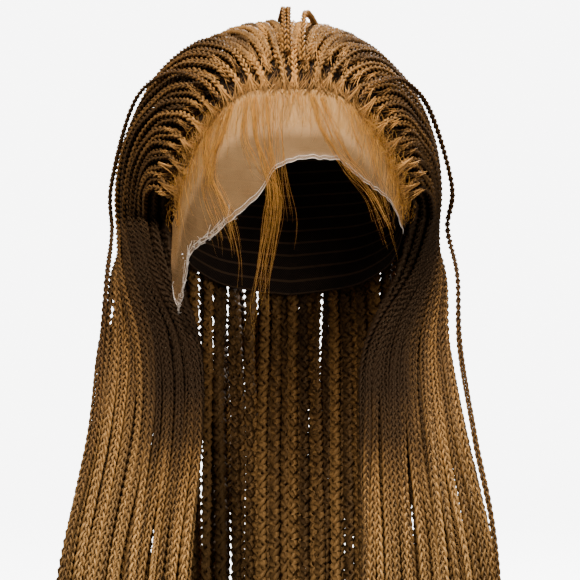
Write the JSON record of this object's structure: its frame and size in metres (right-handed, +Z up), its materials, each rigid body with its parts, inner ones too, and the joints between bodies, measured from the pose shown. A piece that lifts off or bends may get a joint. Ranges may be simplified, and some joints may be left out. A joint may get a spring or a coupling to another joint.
{
  "type": "braid wig",
  "caption": "Lace-front wig of long thin three-strand braids on an open net cap, swept back from the hairline and hanging in front of both shoulders and down the back.",
  "frame": {"origin": "inside of the cap at the crown, where the head carries it", "axes": "+Z up out of the crown, -Y the way the face looks, +X to the picture's right"},
  "size_m": [0.3028, 0.2286, 0.5345],
  "materials": {
    "cap_net": "dark brown stretch net",
    "lace": "sheer skin-toned lace net",
    "braids_left": "golden brown synthetic fibre, plaited, satin",
    "braids_right": "golden brown synthetic fibre, plaited, satin",
    "braids_back": "golden brown synthetic fibre, plaited, satin",
    "loose_braids": "golden brown synthetic fibre, plaited, satin"
  },
  "bodies": {
    "root": {"cap": "cap_net", "front_lace": "lace", "lock_back_1_1": "braids_back", "lock_back_1_2": "braids_back", "lock_back_1_3": "braids_back", "lock_back_1_4": "braids_back", "lock_back_1_5": "braids_back", "lock_back_1_6": "braids_back", "lock_back_2_1": "braids_back", "lock_back_2_2": "braids_back", "lock_back_2_3": "braids_back", "lock_back_2_4": "braids_back", "lock_back_2_5": "braids_back", "lock_back_2_6": "braids_back", "lock_left_1_1": "braids_left", "lock_left_1_2": "braids_left", "lock_left_1_3": "braids_left", "lock_left_1_4": "braids_left", "lock_left_2_1": "braids_left", "lock_left_2_2": "braids_left", "lock_left_2_3": "braids_left", "lock_left_2_4": "braids_left", "lock_left_3_1": "braids_left", "lock_left_3_2": "braids_left", "lock_left_3_3": "braids_left", "lock_left_3_4": "braids_left", "lock_right_1_1": "braids_right", "lock_right_1_2": "braids_right", "lock_right_1_3": "braids_right", "lock_right_1_4": "braids_right", "lock_right_2_1": "braids_right", "lock_right_2_2": "braids_right", "lock_right_2_3": "braids_right", "lock_right_2_4": "braids_right", "lock_right_3_1": "braids_right", "lock_right_3_2": "braids_right", "lock_right_3_3": "braids_right", "lock_right_3_4": "braids_right", "loop_braid_left": "loose_braids", "loop_braid_right": "loose_braids", "stray_braid_left": "loose_braids", "stray_braid_right": "loose_braids"}
  },
  "joints": []
}
